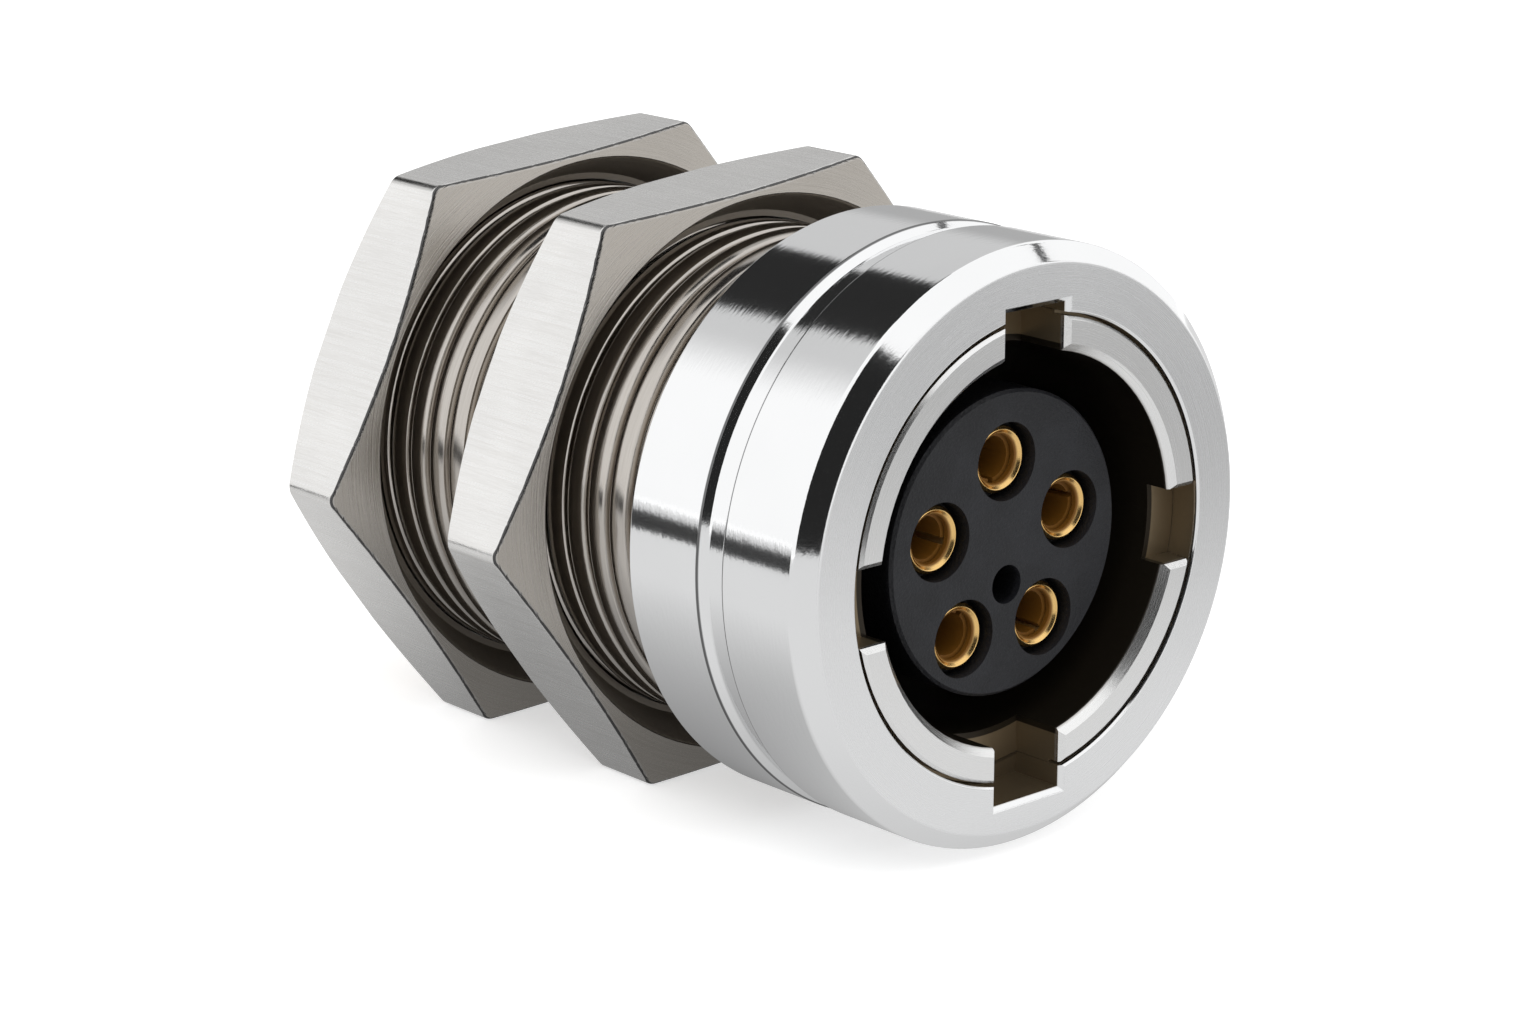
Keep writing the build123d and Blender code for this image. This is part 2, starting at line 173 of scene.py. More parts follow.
class InsertColours(bpy.types.PropertyGroup):
    """Colours of the moulded insert and its contacts."""

    plastic: bpy.props.FloatVectorProperty(
        name="Plastic", description="Black moulded insert", subtype="COLOR",
        default=(0.0085, 0.009, 0.0112))
    gold: bpy.props.FloatVectorProperty(
        name="Gold", description="Gold plating on the contacts", subtype="COLOR",
        default=(0.95, 0.62, 0.24))
    # painted shade: the dark brown inside the contacts' bores
    bore: bpy.props.FloatVectorProperty(
        name="Contact bore", description="Deeper gold inside the contacts", subtype="COLOR",
        default=(0.20, 0.085, 0.010))
    carrier: bpy.props.FloatVectorProperty(
        name="Carrier", description="Metal of the half shells round the insert", subtype="COLOR",
        default=(0.55, 0.53, 0.50))


class StudioSettings(bpy.types.PropertyGroup):
    """The camera and the room that the socket stands in."""

    lens: bpy.props.FloatProperty(
        name="Lens", description="Focal length on a 36 mm wide sensor, in millimetres", default=86.6)
    distance: bpy.props.FloatProperty(
        name="Distance", description="From the camera to the mating face", default=136 * MM, unit="LENGTH")
    azimuth: bpy.props.FloatProperty(
        name="Azimuth", description="Angle of view round the upright axis", subtype="ANGLE",
        default=math.radians(-41.6))
    elevation: bpy.props.FloatProperty(
        name="Elevation", description="Angle of view above the floor", subtype="ANGLE",
        default=math.radians(15.83))
    aside: bpy.props.FloatProperty(
        name="Aside", description="How far the camera stands to the left of the face", default=9.8 * MM,
        unit="LENGTH")
    above: bpy.props.FloatProperty(
        name="Above", description="How far the camera stands above the face", default=1.48 * MM,
        unit="LENGTH")
    floor_size: bpy.props.FloatProperty(
        name="Floor", description="Width of the floor", default=4.0, unit="LENGTH")
    floor_grey: bpy.props.FloatProperty(
        name="Floor grey", description="How much light the floor gives back", default=0.80, min=0, max=1)
    floor_glow: bpy.props.FloatProperty(
        name="Floor glow", description="How much whiter the camera sees the floor than it is lit",
        default=0.50, min=0, max=1)
    room: bpy.props.FloatProperty(
        name="Room light", description="Strength of the even light of the room", default=0.75, min=0)
    shade_width: bpy.props.FloatProperty(
        name="Shade width", description="Across the shade that the metal reflects", default=72 * MM,
        unit="LENGTH")
    shade_length: bpy.props.FloatProperty(
        name="Shade length", description="Along the shade that the metal reflects", default=50 * MM,
        unit="LENGTH")


def deselect():
    """Leaves edit mode and deselects all."""
    if bpy.context.object and bpy.context.object.mode != "OBJECT":
        bpy.ops.object.mode_set(mode="OBJECT")
    bpy.ops.object.select_all(action="DESELECT")


def pick(piece):
    """Makes one object the only selected and active one."""
    deselect()
    piece.hide_viewport = False
    piece.select_set(True)
    bpy.context.view_layer.objects.active = piece
    return piece


def named(name):
    """The object that an operator has just added, under its own name."""
    piece = bpy.context.object
    piece.name = name
    piece.data.name = name
    return piece


def select_faces(piece, test):
    """Selects the faces of a picked piece that pass a test, and stays in edit mode."""
    bpy.ops.object.mode_set(mode="EDIT")
    bpy.ops.mesh.select_mode(type="FACE")
    bpy.ops.mesh.select_all(action="DESELECT")
    bpy.ops.object.mode_set(mode="OBJECT")
    for face in piece.data.polygons:
        face.select = bool(test(face))
    bpy.ops.object.mode_set(mode="EDIT")


def apply_modifier(piece, kind, name, **settings):
    """Adds a modifier, sets it and applies it."""
    pick(piece)
    modifier = piece.modifiers.new(name, kind)
    for key, value in settings.items():
        setattr(modifier, key, value)
    bpy.ops.object.modifier_apply(modifier=modifier.name)


def discard(piece):
    """Deletes an object with its mesh."""
    mesh = piece.data
    bpy.data.objects.remove(piece)
    bpy.data.meshes.remove(mesh)


def combine(piece, other, operation):
    """Joins a closed shape with a second, cuts it by the second or keeps what they share."""
    apply_modifier(piece, "BOOLEAN", operation.lower(), operation=operation, object=other, solver="EXACT")
    discard(other)


def dress(piece, *finishes):
    """Gives a piece its materials in place of any that it has."""
    piece.data.materials.clear()
    for finish in finishes:
        piece.data.materials.append(finish)


# Materials


def group_of(name, inputs, outputs):
    """An empty node group with float inputs (name, default) and float outputs; links come later."""
    group = bpy.data.node_groups.new(name, "ShaderNodeTree")
    for label, value in inputs:
        socket = group.interface.new_socket(label, in_out="INPUT", socket_type="NodeSocketFloat")
        socket.default_value = value
    for label in outputs:
        group.interface.new_socket(label, in_out="OUTPUT", socket_type="NodeSocketFloat")
    return group, group.nodes.new("NodeGroupInput"), group.nodes.new("NodeGroupOutput")


class Wiring:
    """Short ways to add nodes to one node tree."""

    def __init__(self, tree):
        self.tree = tree

    def node(self, kind, **settings):
        node = self.tree.nodes.new(kind)
        for key, value in settings.items():
            setattr(node, key, value)
        return node

    def link(self, source, target):
        self.tree.links.new(source, target)

    def put(self, value, target):
        if isinstance(value, (int, float, tuple, list)):
            target.default_value = value
        else:
            self.link(value, target)

    def math(self, operation, first, second=0.0, third=None, clamp=False):
        node = self.node("ShaderNodeMath", operation=operation, use_clamp=clamp)
        self.put(first, node.inputs[0])
        self.put(second, node.inputs[1])
        if third is not None:
            self.put(third, node.inputs[2])
        return node.outputs[0]

    def span(self, value, low, high, to_low=0.0, to_high=1.0):
        node = self.node("ShaderNodeMapRange", interpolation_type="SMOOTHSTEP")
        self.put(value, node.inputs["Value"])
        self.put(low, node.inputs["From Min"])
        self.put(high, node.inputs["From Max"])
        self.put(to_low, node.inputs["To Min"])
        self.put(to_high, node.inputs["To Max"])
        return node.outputs["Result"]

    def noise(self, vector, scale, detail=2.0, roughness=0.5):
        node = self.node("ShaderNodeTexNoise")
        self.link(vector, node.inputs["Vector"])
        self.put(scale, node.inputs["Scale"])
        self.put(detail, node.inputs["Detail"])
        self.put(roughness, node.inputs["Roughness"])
        return node.outputs["Fac"]

    def combine(self, x, y, z):
        node = self.node("ShaderNodeCombineXYZ")
        self.put(x, node.inputs[0])
        self.put(y, node.inputs[1])
        self.put(z, node.inputs[2])
        return node.outputs[0]

    def place(self):
        """Object coordinates: their vector and x, y and z."""
        place = self.node("ShaderNodeTexCoord").outputs["Object"]
        split = self.node("ShaderNodeSeparateXYZ")
        self.link(place, split.inputs[0])
        return place, split.outputs[0], split.outputs[1], split.outputs[2]

    def radius(self, x, z):
        return self.math("SQRT", self.math("ADD", self.math("POWER", x, 2.0), self.math("POWER", z, 2.0)))

    def mix(self, factor, first, second):
        node = self.node("ShaderNodeMix", data_type="RGBA")
        self.put(factor, node.inputs["Factor"])
        self.put(first, node.inputs["A"])
        self.put(second, node.inputs["B"])
        return node.outputs["Result"]

    def blend(self, factor, first, second):
        node = self.node("ShaderNodeMix", data_type="FLOAT")
        self.put(factor, node.inputs["Factor"])
        self.put(first, node.inputs["A"])
        self.put(second, node.inputs["B"])
        return node.outputs["Result"]

    def bump(self, height, distance, normal=None):
        node = self.node("ShaderNodeBump")
        self.link(height, node.inputs["Height"])
        node.inputs["Distance"].default_value = distance
        node.inputs["Strength"].default_value = 1.0
        if normal is not None:
            self.link(normal, node.inputs["Normal"])
        return node.outputs["Normal"]


def grain_group():
    """Fine even grain, as plating and moulding have."""
    group, given, out = group_of("fine_grain", [("Scale", 9000.0)], ["Height"])
    w = Wiring(group)
    place, _, _, _ = w.place()
    w.link(w.noise(place, given.outputs["Scale"], 3.0, 0.6), out.inputs["Height"])
    return group


def turned_group():
    """Fine rings that a turning tool leaves on a face that stands across the axis."""
    group, given, out = group_of("turned_marks", [("Fineness", 26000.0), ("Break", 420.0)], ["Height"])
    w = Wiring(group)
    _, x, _, z = w.place()
    ring = w.math("MULTIPLY", w.radius(x, z), given.outputs["Fineness"])
    side_x = w.math("MULTIPLY", x, given.outputs["Break"])
    side_z = w.math("MULTIPLY", z, given.outputs["Break"])
    coarse = w.noise(w.combine(ring, side_x, side_z), 1.0, 3.0, 0.6)
    fine = w.noise(w.combine(w.math("MULTIPLY", ring, 3.7), side_z, side_x), 1.0, 2.0, 0.6)
    w.link(w.math("MULTIPLY_ADD", fine, 0.5, coarse), out.inputs["Height"])
    return group


def brushed_group():
    """Fine straight marks that run along the axis, as on a hexagonal bar's flats."""
    group, given, out = group_of("brushed_marks", [("Fineness", 16000.0), ("Break", 500.0)], ["Height"])
    w = Wiring(group)
    _, x, y, z = w.place()
    along = w.math("MULTIPLY", y, given.outputs["Break"])
    over_x = w.math("MULTIPLY", x, given.outputs["Fineness"])
    over_z = w.math("MULTIPLY", z, given.outputs["Fineness"])
    coarse = w.noise(w.combine(over_x, along, over_z), 1.0, 3.0, 0.65)
    fine = w.noise(w.combine(over_z, w.math("MULTIPLY", along, 2.3), over_x), 2.9, 2.0, 0.6)
    w.link(w.math("MULTIPLY_ADD", fine, 0.45, coarse), out.inputs["Height"])
    return group


def lapped_group():
    """Fine lines round a cylinder's side, as lapping and polishing leave them."""
    group, given, out = group_of("lapped_marks", [("Fineness", 9000.0), ("Break", 700.0)], ["Height"])
    w = Wiring(group)
    _, x, y, z = w.place()
    side_x = w.math("MULTIPLY", x, given.outputs["Break"])
    side_z = w.math("MULTIPLY", z, given.outputs["Break"])
    along = w.math("MULTIPLY", y, given.outputs["Fineness"])
    w.link(w.noise(w.combine(side_x, along, side_z), 1.0, 3.0, 0.6), out.inputs["Height"])
    return group


def cloud_group():
    """Soft uneven patches, for plating that isn't quite the same all over."""
    group, given, out = group_of("soft_patches", [("Scale", 260.0), ("Low", 0.35), ("High", 0.7)], ["Mask"])
    w = Wiring(group)
    place, _, _, _ = w.place()
    patches = w.noise(place, given.outputs["Scale"], 2.0, 0.5)
    w.link(w.span(patches, given.outputs["Low"], given.outputs["High"]), out.inputs["Mask"])
    return group


GROUPS = {}


def shared(name):
    """A shared node group, built at its first use."""
    makers = {"fine_grain": grain_group, "turned_marks": turned_group, "brushed_marks": brushed_group,
              "lapped_marks": lapped_group, "soft_patches": cloud_group}
    if name not in GROUPS:
        GROUPS[name] = makers[name]()
    return GROUPS[name]


def use_group(w, name, **inputs):
    """Places a shared group in a material and returns its first output."""
    node = w.node("ShaderNodeGroup", node_tree=shared(name))
    for label, value in inputs.items():
        node.inputs[label].default_value = value
    return node.outputs[0]


def material(name, metallic=1.0, roughness=0.2, **constants):
    """A new material, with its wiring and its Principled BSDF; constants go on the shader's own sockets."""
    made = bpy.data.materials.new(name)
    made.use_nodes = True
    w = Wiring(made.node_tree)
    shader = made.node_tree.nodes["Principled BSDF"]
    shader.inputs["Metallic"].default_value = metallic
    shader.inputs["Roughness"].default_value = roughness
    for label, value in constants.items():
        shader.inputs[label.replace("_", " ")].default_value = value
    return made, w, shader


def rgba(colour):
    return (colour[0], colour[1], colour[2], 1.0)


def darker(colour, share):
    return (colour[0] * share, colour[1] * share, colour[2] * share, 1.0)


def head_chrome(colours):
    """Chrome: polished on the head's side and bevel, turned satin on its face; painted shade, brown satin in
    its slots and black in its bore.
    """
    made, w, shader = material("head_chrome", roughness=0.1)
    _, x, y, z = w.place()
    radius = w.radius(x, z)
    face = w.span(y, FACE_Y + 0.02 * MM, FACE_Y + 0.05 * MM, 1.0, 0.0)
    behind = w.span(y, FACE_Y + 0.16 * MM, FACE_Y + 0.24 * MM)
    slots = w.math("MULTIPLY", w.span(radius, SLOTS_RADIUS, SLOTS_RADIUS + 0.1 * MM, 1.0, 0.0), behind)
    inside = w.span(y, FACE_Y + 2.3 * MM, FACE_Y + 2.5 * MM)
    inside = w.math("MULTIPLY", w.span(radius, SEAT_RADIUS, SEAT_RADIUS + 0.1 * MM, 1.0, 0.0), inside)
    grain = use_group(w, "fine_grain", Scale=14000.0)
    turned = use_group(w, "turned_marks", Fineness=30000.0, Break=300.0)
    patches = use_group(w, "soft_patches", Scale=180.0)
    polish = w.math("MULTIPLY_ADD", grain, 0.08, 0.04)
    satin = w.math("MULTIPLY_ADD", turned, 0.16, 0.14)
    rough = w.blend(slots, w.blend(face, polish, satin), 0.3)
    w.link(rough, shader.inputs["Roughness"])
    base = w.mix(patches, darker(colours.chrome, 0.98), rgba(colours.chrome))
    # painted shade: the slots' walls brown and less metallic
    base = w.mix(w.math("MULTIPLY", slots, 0.95), base, rgba(colours.slot))
    # painted shade: nearly black in the bore behind the crown's seat
    base = w.mix(w.math("MULTIPLY", inside, 0.95), base, darker(colours.painted_shade_and_tint, 0.1))
    # painted shadow: a thin dark line at each edge of the groove
    open_metal = w.math("SUBTRACT", 0.85, slots, clamp=True)
    for edge in GROOVE_EDGES:
        off = w.math("ABSOLUTE", w.math("SUBTRACT", y, FACE_Y + edge))
        line = w.span(off, 0.03 * MM, 0.07 * MM, 1.0, 0.0)
        base = w.mix(w.math("MULTIPLY", line, open_metal), base, darker(colours.chrome, 0.03))
    w.link(base, shader.inputs["Base Color"])
    w.link(w.math("MULTIPLY_ADD", slots, -0.2, 1.0), shader.inputs["Metallic"])
    lapped = use_group(w, "lapped_marks", Fineness=6000.0, Break=1500.0)
    lapped = w.math("MULTIPLY", lapped, w.math("SUBTRACT", 1.0, slots))
    faint = w.bump(lapped, 0.004 * MM)
    w.link(w.bump(w.math("MULTIPLY", turned, face), 0.0022 * MM, faint), shader.inputs["Normal"])
    return made


def thread_nickel(colours):
    """Nickel on the thread: lapped crests, and darker painted shade in its grooves."""
    made, w, shader = material("thread_nickel", roughness=0.2)
    _, x, _, z = w.place()
    depth = w.span(w.radius(x, z), 9.55 * MM, 9.93 * MM, 1.0, 0.0)
    lapped = use_group(w, "lapped_marks", Fineness=14000.0, Break=500.0)
    base = w.mix(lapped, darker(colours.thread, 0.72), rgba(colours.thread))
    # painted shade in the thread's grooves
    base = w.mix(w.math("MULTIPLY", depth, 0.85), base, rgba(colours.painted_shade_and_tint))
    w.link(base, shader.inputs["Base Color"])
    w.link(w.math("MULTIPLY_ADD", lapped, 0.14, 0.08), shader.inputs["Roughness"])
    w.link(w.bump(lapped, 0.003 * MM), shader.inputs["Normal"])
    return made


def nut_nickel(colours):
    """Nickel on the nuts: brushed flats edged with painted shade lines, darker turned faces, and a dull dish
    in painted shade.
    """
    made, w, shader = material("nut_nickel", roughness=0.28)
    _, x, _, z = w.place()
    normal = w.node("ShaderNodeSeparateXYZ")
    w.link(w.node("ShaderNodeNewGeometry").outputs["True Normal"], normal.inputs[0])
    tilt = w.math("ABSOLUTE", normal.outputs[1])
    across = w.span(tilt, 0.80, 0.90)
    edge = w.math("MULTIPLY", w.span(tilt, 0.30, 0.42), w.span(tilt, 0.80, 0.88, 1.0, 0.0))
    dish = w.span(w.radius(x, z), DISH_RADIUS, DISH_RADIUS + 0.08 * MM, 1.0, 0.0)
    turned = use_group(w, "turned_marks", Fineness=14000.0, Break=200.0)
    brushed = use_group(w, "brushed_marks", Fineness=8000.0, Break=220.0)
    patches = use_group(w, "soft_patches", Scale=220.0)
    height = w.blend(w.math("MAXIMUM", across, dish), brushed, turned)
    marks = w.span(height, 0.35, 1.05)
    base = w.mix(patches, darker(colours.nickel, 0.95), rgba(colours.nickel))
    base = w.mix(marks, w.mix(0.16, base, rgba(colours.painted_shade_and_tint)), base)
    # the faces across the axis tinted darker and browner
    base = w.mix(w.math("MULTIPLY", across, 0.62), base, rgba(colours.painted_shade_and_tint))
    # painted shade: a near-black line along the rounded edges between the flats and the faces
    base = w.mix(w.math("MULTIPLY", edge, 0.9), base, (0.02, 0.02, 0.022, 1.0))
    # the dish: duller plating, darkened as painted shade of the recess
    base = w.mix(dish, base, rgba(colours.dish))
    w.link(base, shader.inputs["Base Color"])
    w.link(w.math("MULTIPLY_ADD", dish, -0.4, 1.0), shader.inputs["Metallic"])
    w.link(w.blend(dish, w.math("MULTIPLY_ADD", marks, 0.16, 0.16), 0.34), shader.inputs["Roughness"])
    w.link(w.bump(height, 0.006 * MM), shader.inputs["Normal"])
    return made


def crown_satin(colours):
    """Satin nickel on the earthing crown's face, dark brown painted shade on the walls of its notches and
    inside.
    """
    made, w, shader = material("crown_satin", roughness=0.25)
    _, x, y, z = w.place()
    turned = use_group(w, "turned_marks", Fineness=30000.0, Break=300.0)
    grain = use_group(w, "fine_grain", Scale=12000.0)
    depth = w.span(y, FACE_Y + 0.22 * MM, FACE_Y + 0.42 * MM)
    inside = w.span(w.radius(x, z), CROWN_BORE, CROWN_BORE + 0.04 * MM, 1.0, 0.0)
    inside = w.math("MULTIPLY", inside, depth)
    inside = w.math("MAXIMUM", inside, w.span(y, FACE_Y + 2.4 * MM, FACE_Y + 2.6 * MM))
    # painted shade: brown on the notch walls and all behind the face's bevels
    base = w.mix(w.math("MULTIPLY", depth, 0.95), rgba(colours.satin), rgba(colours.slot))
    # painted shade: nearly black inside the crown's bore and more than 2.4 mm behind the face
    base = w.mix(w.math("MULTIPLY", inside, 0.95), base, darker(colours.painted_shade_and_tint, 0.1))
    w.link(base, shader.inputs["Base Color"])
    w.link(w.blend(depth, w.math("MULTIPLY_ADD", turned, 0.14, 0.15), 0.34), shader.inputs["Roughness"])
    w.link(w.math("MULTIPLY_ADD", depth, -0.2, 1.0), shader.inputs["Metallic"])
    height = w.blend(depth, turned, grain)
    w.link(w.bump(height, 0.002 * MM), shader.inputs["Normal"])
    return made


def moulded_black(colours):
    """Black moulded plastic with a fine matt grain, in deep shade within its pockets and its plain hole."""
    made, w, shader = material("moulded_black", metallic=0.0, roughness=0.5, Specular_IOR_Level=0.4)
    _, _, y, _ = w.place()
    deep = w.span(y, FACE_Y + 1.56 * MM, FACE_Y + 1.9 * MM)
    grain = use_group(w, "fine_grain", Scale=8000.0)
    patches = use_group(w, "soft_patches", Scale=500.0)
    base = w.mix(patches, rgba(colours.plastic), darker(colours.plastic, 1.5))
    base = w.mix(w.math("MULTIPLY", deep, 0.75), base, darker(colours.plastic, 0.1))
    w.link(base, shader.inputs["Base Color"])
    w.link(w.math("MULTIPLY_ADD", grain, 0.3, 0.34), shader.inputs["Roughness"])
    w.link(w.bump(grain, 0.045 * MM), shader.inputs["Normal"])
    return made


def contact_centre(number):
    """Where one contact's axis lies, as x and z."""
    low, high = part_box(f"contact_hood_{number}")
    return (low[0] + high[0]) / 2, (low[2] + high[2]) / 2


def bore_of_any(w, x, z):
    """A mask of what lies inside a contact's bore: within its radius of one of the five contacts' axes."""
    nearest = 1.0
    for number in CONTACTS:
        over, up = contact_centre(number)
        offset = w.radius(w.math("SUBTRACT", x, over), w.math("SUBTRACT", z, up))
        nearest = w.math("MINIMUM", offset, nearest)
    return w.span(nearest, HOOD_BORE, HOOD_BORE + 0.12 * MM, 1.0, 0.0)


def contact_gold(colours):
    """Gold plating, bright on the rims, with dark brown painted shade inside."""
    made, w, shader = material("contact_gold", roughness=0.16)
    _, x, y, z = w.place()
    grain = use_group(w, "fine_grain", Scale=15000.0)
    deep = w.span(y, RIM_Y + 0.09 * MM, RIM_Y + 0.18 * MM)
    deep = w.math("MULTIPLY", deep, bore_of_any(w, x, z))
    outside = w.span(y, BARREL_END_Y - 3.0 * MM, BARREL_END_Y - 2.6 * MM, 1.0, 0.0)
    inner = w.math("MULTIPLY", deep, outside)
    # painted shade: dark brown, duller and less metallic inside the bores
    base = w.mix(inner, rgba(colours.gold), rgba(colours.bore))
    w.link(base, shader.inputs["Base Color"])
    w.link(w.math("MULTIPLY_ADD", inner, -0.7, 1.0), shader.inputs["Metallic"])
    w.link(w.math("MULTIPLY_ADD", inner, 0.3, w.math("MULTIPLY_ADD", grain, 0.12, 0.16)),
           shader.inputs["Roughness"])
    w.link(w.bump(grain, 0.0012 * MM), shader.inputs["Normal"])
    return made


def carrier_metal(colours):
    """Plain turned metal of the half shells and the retaining ring."""
    made, w, shader = material("carrier_metal", roughness=0.32)
    turned = use_group(w, "turned_marks", Fineness=22000.0, Break=300.0)
    patches = use_group(w, "soft_patches", Scale=300.0)
    w.link(w.mix(patches, darker(colours.carrier, 0.85), rgba(colours.carrier)), shader.inputs["Base Color"])
    w.link(w.math("MULTIPLY_ADD", turned, 0.2, 0.2), shader.inputs["Roughness"])
    w.link(w.bump(turned, 0.0025 * MM), shader.inputs["Normal"])
    return made


def finish_nodes(names, made):
    """Gives CAD nodes their material."""
    for name in names:
        dress(NODES[name], made)


# The pieces


def swept(name, outline, steps, pitch=0.0, turns=1):
    """A closed outline of (radius, y) swept round the axis: a turned ring, or a helical bar with a pitch."""
    deselect()
    bpy.ops.mesh.primitive_circle_add(vertices=len(outline), radius=MM, fill_type="NOTHING")
    piece = named(name)
    for vertex, (radius, along) in zip(piece.data.vertices, outline):
        vertex.co = (radius, along, 0)
    apply_modifier(piece, "SCREW", "sweep", axis="Y", angle=2 * math.pi, screw_offset=pitch,
                   iterations=turns, steps=steps, render_steps=steps)
    bpy.ops.object.mode_set(mode="EDIT")
    bpy.ops.mesh.select_all(action="SELECT")
    bpy.ops.mesh.remove_doubles(threshold=1e-7)
    if pitch:
        bpy.ops.mesh.fill_holes(sides=len(outline))
    bpy.ops.mesh.select_all(action="SELECT")
    bpy.ops.mesh.normals_make_consistent(inside=False)
    bpy.ops.object.mode_set(mode="OBJECT")
    return piece


def eased(points):
    """The outline, each eased corner cut into a small round between two points that hold its flats."""
    outline = []
    for index, (radius, along, ease) in enumerate(points):
        corner = Vector((radius, along))
        if not ease:
            outline.append((radius * MM, (along - HEAD_LENGTH) * MM))
            continue
        before = (Vector(points[index - 1][:2]) - corner).normalized()
        after = (Vector(points[(index + 1) % len(points)][:2]) - corner).normalized()
        start = corner + before * ease
        end = corner + after * ease
        middle = (start + end) / 4 + corner / 2
        for point in (start + before * HOLD, start, middle, end, end + after * HOLD):
            outline.append((point.x * MM, (point.y - HEAD_LENGTH) * MM))
    return outline


def thread_ridge(sizes):
    """The thread's ridge as one closed helical bar, from inside the plain band to past the barrel's end."""
    outline = [(radius * MM, sizes.plain + along * MM) for radius, along in RIDGE_SECTION]
    turns = int((BARREL_END_Y - sizes.plain) / sizes.pitch) + 1
    return swept("thread_ridge", outline, sizes.steps, sizes.pitch, turns)


def thread_envelope(sizes):
    """The space that the thread is trimmed to: a run-out towards the head and the barrel's end bevel."""
    room = 0.02 * MM
    wide = BARREL_RADIUS + room
    bevel = wide - sizes.root_radius
    front = sizes.plain + bevel
    rear = BARREL_END_Y - bevel
    deselect()
    bpy.ops.mesh.primitive_cylinder_add(vertices=sizes.steps, radius=wide, depth=rear - front,
                                        location=(0, (front + rear) / 2, 0), rotation=(math.pi / 2, 0, 0))
    envelope = named("thread_envelope")
    bpy.ops.object.transform_apply(location=True, rotation=True, scale=True)
    for end, step in ((front, -bevel), (rear, bevel - 0.004 * MM)):
        select_faces(envelope, lambda face: abs(face.center.y - end) < 1e-7)
        bpy.ops.mesh.extrude_region_move(TRANSFORM_OT_translate={"value": (0, step, 0)})
        shrink = (sizes.root_radius - room) / wide
        bpy.ops.transform.resize(value=(shrink, 1, shrink), center_override=(0, end + step, 0))
        bpy.ops.object.mode_set(mode="OBJECT")
    return envelope


def key_cutter(width, reach, length, side):
    """The space of one key slot: a mouth that widens to the front, and straight walls behind it."""
    deselect()
    bpy.ops.mesh.primitive_cube_add(size=2.0)
    cutter = named("key_cutter")
    for vertex in cutter.data.vertices:
        x, y, z = vertex.co
        spread = 2 * SLOT_BEVEL if y < 0 else 0.0
        along = FACE_Y + math.copysign(SLOT_BEVEL, y)
        height = (reach + spread) * side if z * side > 0 else 5.0 * MM * side
        vertex.co = (math.copysign(width / 2 + spread, x), along, height)
    pick(cutter)
    select_faces(cutter, lambda face: face.center.y > FACE_Y + 0.9 * SLOT_BEVEL)
    bpy.ops.mesh.extrude_region_move(TRANSFORM_OT_translate={"value": (0, length - SLOT_BEVEL, 0)})
    bpy.ops.mesh.select_all(action="SELECT")
    bpy.ops.mesh.normals_make_consistent(inside=False)
    bpy.ops.object.mode_set(mode="OBJECT")
    return cutter


def shell_core(sizes, slots):
    """The outer shell turned down to the thread's root, with its two key slots."""
    root = sizes.root_radius / MM
    plain = HEAD_LENGTH + sizes.plain / MM
    end = HEAD_LENGTH + BARREL_LENGTH
    end_radius = 9.4
    barrel = [(9.985, HEAD_LENGTH, 0.0), (9.985, plain - 0.06, 0.0), (9.9, plain, 0.0),
              (root, plain + 0.04, 0.0), (root, end - (root - end_radius), 0.0), (end_radius, end, 0.0),
              (8.35, end, 0.0)]
    core = swept("threaded_shell", eased(SHELL_SECTION + barrel), sizes.steps)
    combine(core, key_cutter(slots.upper_width, slots.upper_reach, slots.length, 1), "DIFFERENCE")
    combine(core, key_cutter(slots.lower_width, slots.lower_reach, slots.length, -1), "DIFFERENCE")
    return core


class SOCKET_OT_threaded_shell(bpy.types.Operator):
    """Cuts the thread on the outer shell and plates it"""

    bl_idname = "socket.threaded_shell"
    bl_label = "Threaded shell"

    def execute(self, context):
        sizes = context.scene.socket_thread
        colours = context.scene.socket_plating
        ridge = thread_ridge(sizes)
        combine(ridge, thread_envelope(sizes), "INTERSECT")
        shell = shell_core(sizes, context.scene.socket_slots)
        combine(shell, ridge, "UNION")
        dress(shell, head_chrome(colours), thread_nickel(colours))
        select_faces(shell, lambda face: face.center.y > 0.002 * MM)
        shell.active_material_index = 1
        bpy.ops.object.material_slot_assign()
        bpy.ops.object.mode_set(mode="OBJECT")
        bpy.ops.object.shade_smooth_by_angle(angle=SMOOTH_ANGLE)
        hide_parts("outer_shell")
        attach(shell, "socket")
        return {"FINISHED"}


class SOCKET_OT_earthing_crown(bpy.types.Operator):
    """Plates the earthing crown in satin nickel"""

    bl_idname = "socket.earthing_crown"
    bl_label = "Earthing crown"

    def execute(self, context):
        finish_nodes(["earthing_crown"], crown_satin(context.scene.socket_plating))
        return {"FINISHED"}


class SOCKET_OT_nuts(bpy.types.Operator):
    """Plates the two hexagonal nuts in nickel"""

    bl_idname = "socket.nuts"
    bl_label = "Hexagonal nuts"

    def execute(self, context):
        finish_nodes(["front_nut", "rear_nut"], nut_nickel(context.scene.socket_plating))
        return {"FINISHED"}


class SOCKET_OT_insert(bpy.types.Operator):
    """Colours the moulded insert and the metal carrier round it"""

    bl_idname = "socket.insert"
    bl_label = "Insert and carrier"

    def execute(self, context):
        colours = context.scene.socket_insert
        finish_nodes(["front_insulator", "rear_insulator"], moulded_black(colours))
        finish_nodes(["upper_insert_carrier", "lower_insert_carrier", "retaining_ring"],
                     carrier_metal(colours))
        return {"FINISHED"}


